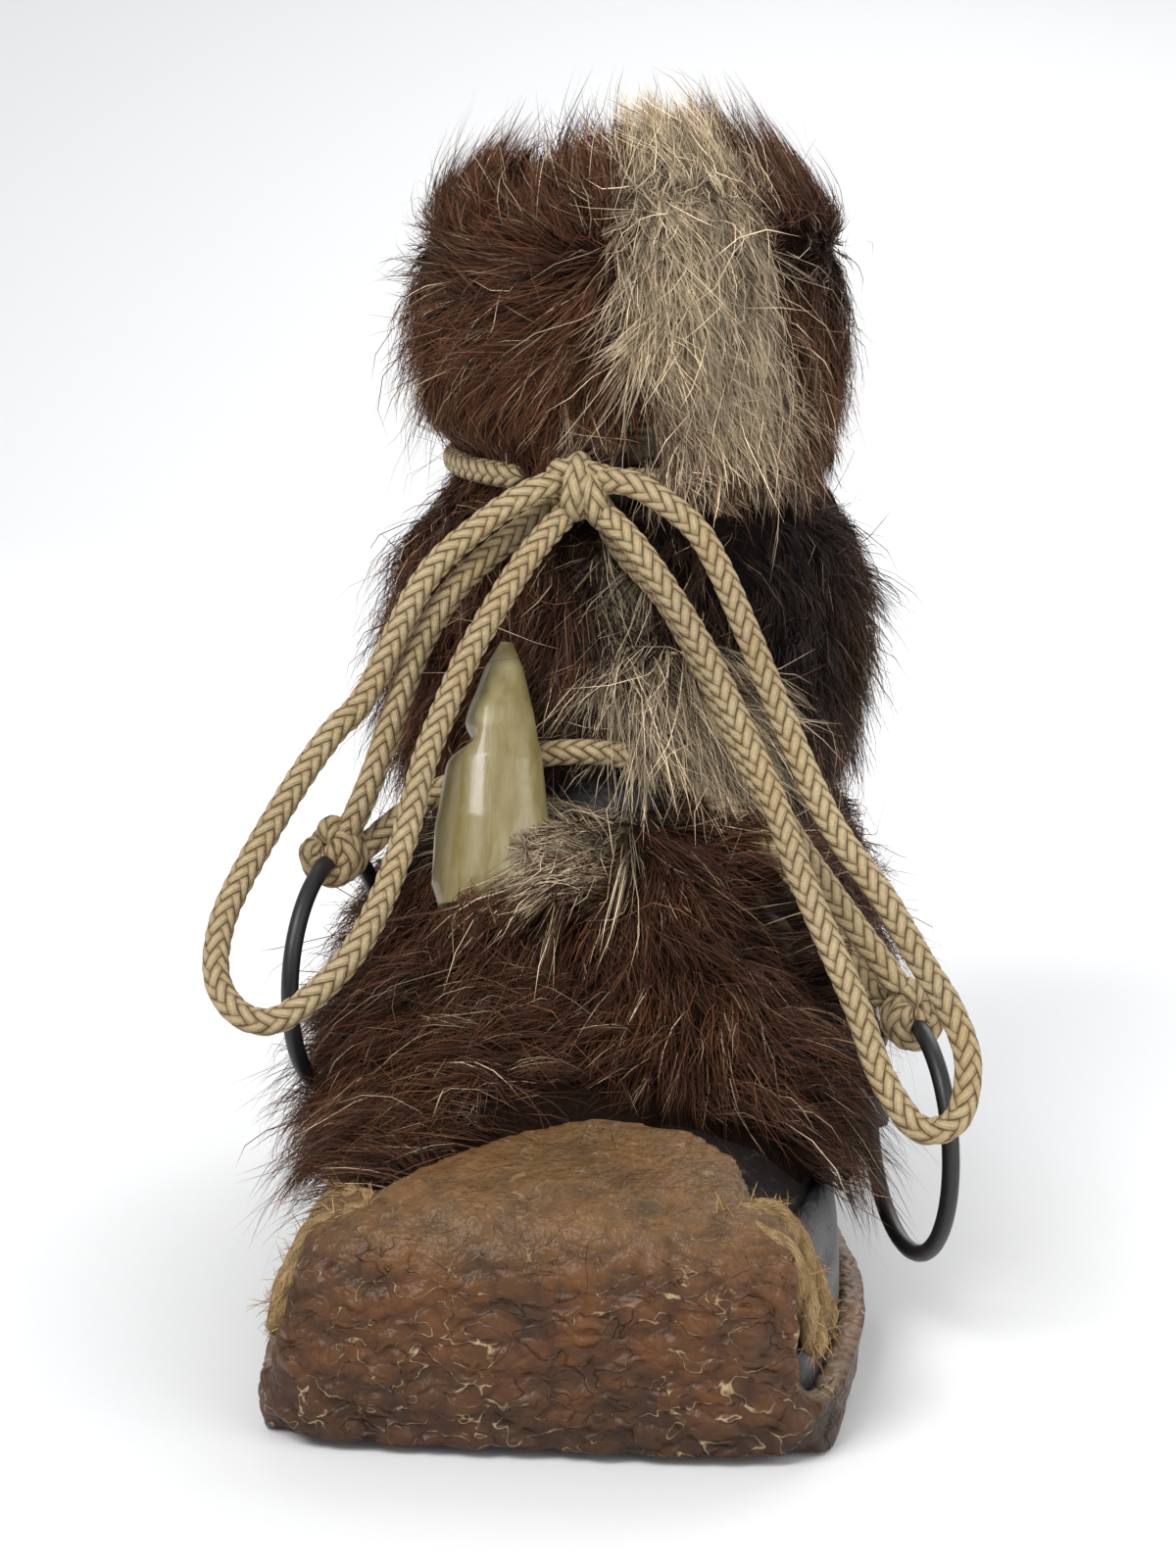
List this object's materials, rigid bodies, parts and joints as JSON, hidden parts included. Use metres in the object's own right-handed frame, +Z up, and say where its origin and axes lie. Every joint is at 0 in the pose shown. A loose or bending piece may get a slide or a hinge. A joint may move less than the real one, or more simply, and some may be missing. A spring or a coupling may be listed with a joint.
{
  "type": "mukluk",
  "caption": "Mid-calf fur boot on a hide sole folded up over the toe, with cord ties, a bow, a horn toggle and side rings; stands empty.",
  "frame": {"origin": "on the floor, on the flat underside of the sole, under the middle of the foot's length", "axes": "+Z up, the toe points to -Y, +X is the wearer's inner side"},
  "size_m": [0.1737, 0.2863, 0.2696],
  "materials": {
    "hide": "orange-brown crinkled hide, matte",
    "grey_leather": "dark grey smooth leather with a soft sheen",
    "black_leather": "black grained leather, matte",
    "felt": "dark felt",
    "fur": "long soft brown fur with blond and dark locks",
    "cord": "pale straw braided cord",
    "jute": "golden twisted twine, fuzzy",
    "horn": "ivory-yellow polished horn",
    "wire": "black wire, semi-gloss"
  },
  "bodies": {
    "root": {"outsole": "hide", "rand": "grey_leather", "upper": "black_leather", "insole": "felt", "fur_foot": "fur", "fur_shaft": "fur", "fur_cuff": "fur", "ankle_tie": "cord", "instep_tie": "cord", "bow_knot": "cord", "bow_loop_outer": "cord", "bow_loop_inner": "cord", "tail_outer": "cord", "tail_inner": "cord", "ring_outer": "wire", "ring_inner": "wire", "ring_knot_outer": "cord", "ring_knot_inner": "cord", "ring_strap_outer": "grey_leather", "ring_strap_inner": "grey_leather", "toe_lashing_inner": "jute", "toe_lashing_outer": "jute", "toggle": "horn"}
  },
  "joints": []
}
